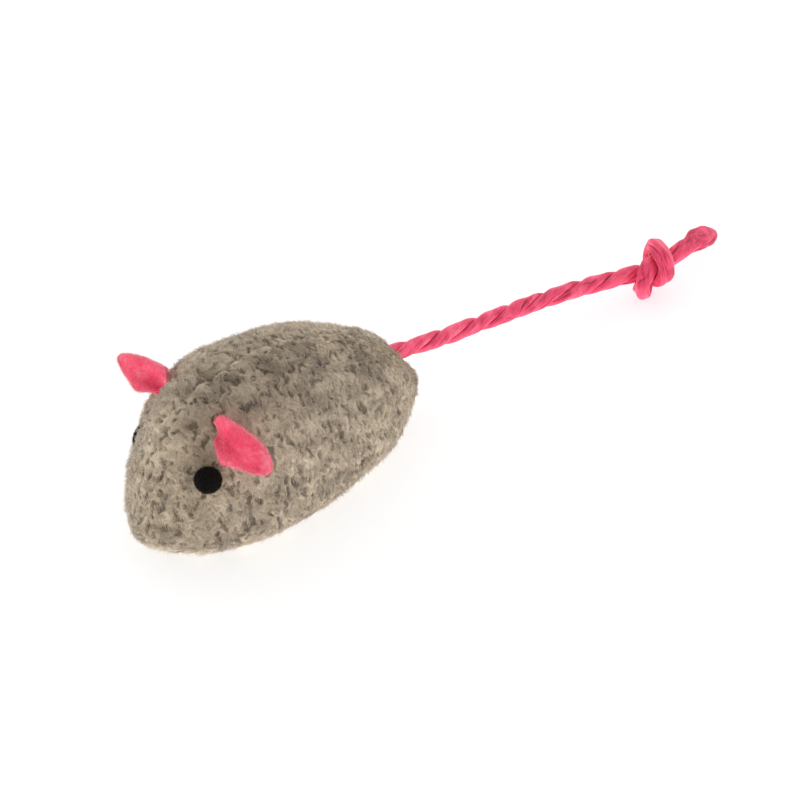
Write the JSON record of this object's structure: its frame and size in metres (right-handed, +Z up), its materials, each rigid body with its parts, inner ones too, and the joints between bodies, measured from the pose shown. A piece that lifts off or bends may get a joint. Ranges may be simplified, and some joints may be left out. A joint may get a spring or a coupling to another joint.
{
  "type": "catnip mouse",
  "caption": "Stuffed fleece mouse toy with felt ears, pompom eyes and a knotted paper-cord tail, resting on its flat base.",
  "frame": {"origin": "on the surface that the mouse stands on, under the middle of its body, ears included and tail left out", "axes": "+Z up, +Y from the nose towards the tail, +X towards the mouse's left side"},
  "size_m": [0.0306, 0.1017, 0.0254],
  "materials": {
    "fleece": "short curly pile, mottled grey-brown, matt",
    "felt": "pressed felt, hot pink, matt and slightly fuzzy",
    "pompom": "short black fibres, matt",
    "paper_cord": "two-ply twisted paper cord, pink, satin with fine creases",
    "fibrefill": "loose white polyester fibre",
    "dried_leaf": "dried crumbled catnip leaf"
  },
  "bodies": {
    "body": {"body_panel_left": "fleece", "body_panel_right": "fleece", "base_panel": "fleece", "stuffing": "fibrefill", "catnip_filling": "dried_leaf", "eye_left": "pompom", "eye_right": "pompom", "tail_root": "paper_cord"},
    "ear_left": {"ear_left": "felt"},
    "ear_right": {"ear_right": "felt"},
    "tail": {"tail_cord": "paper_cord", "tail_knot": "paper_cord", "tail_end": "paper_cord"}
  },
  "joints": [
    {"name": "ear_left_flop", "type": "hinge", "parent": "body", "child": "ear_left", "pos_m": [0.00655, -0.01327, 0.02051], "axis": [0.4668, -0.385, -0.7962], "range_deg": [-20, 30], "stiffness_Nm_per_rad": 0.001},
    {"name": "ear_right_flop", "type": "hinge", "parent": "body", "child": "ear_right", "pos_m": [-0.00655, -0.01327, 0.02051], "axis": [0.4668, 0.385, 0.7962], "range_deg": [-20, 30], "stiffness_Nm_per_rad": 0.001},
    {"name": "tail_swing", "type": "hinge", "parent": "body", "child": "tail", "pos_m": [0, 0.024, 0.0095], "axis": [0, 0, 1], "range_deg": [-60, 60]}
  ]
}
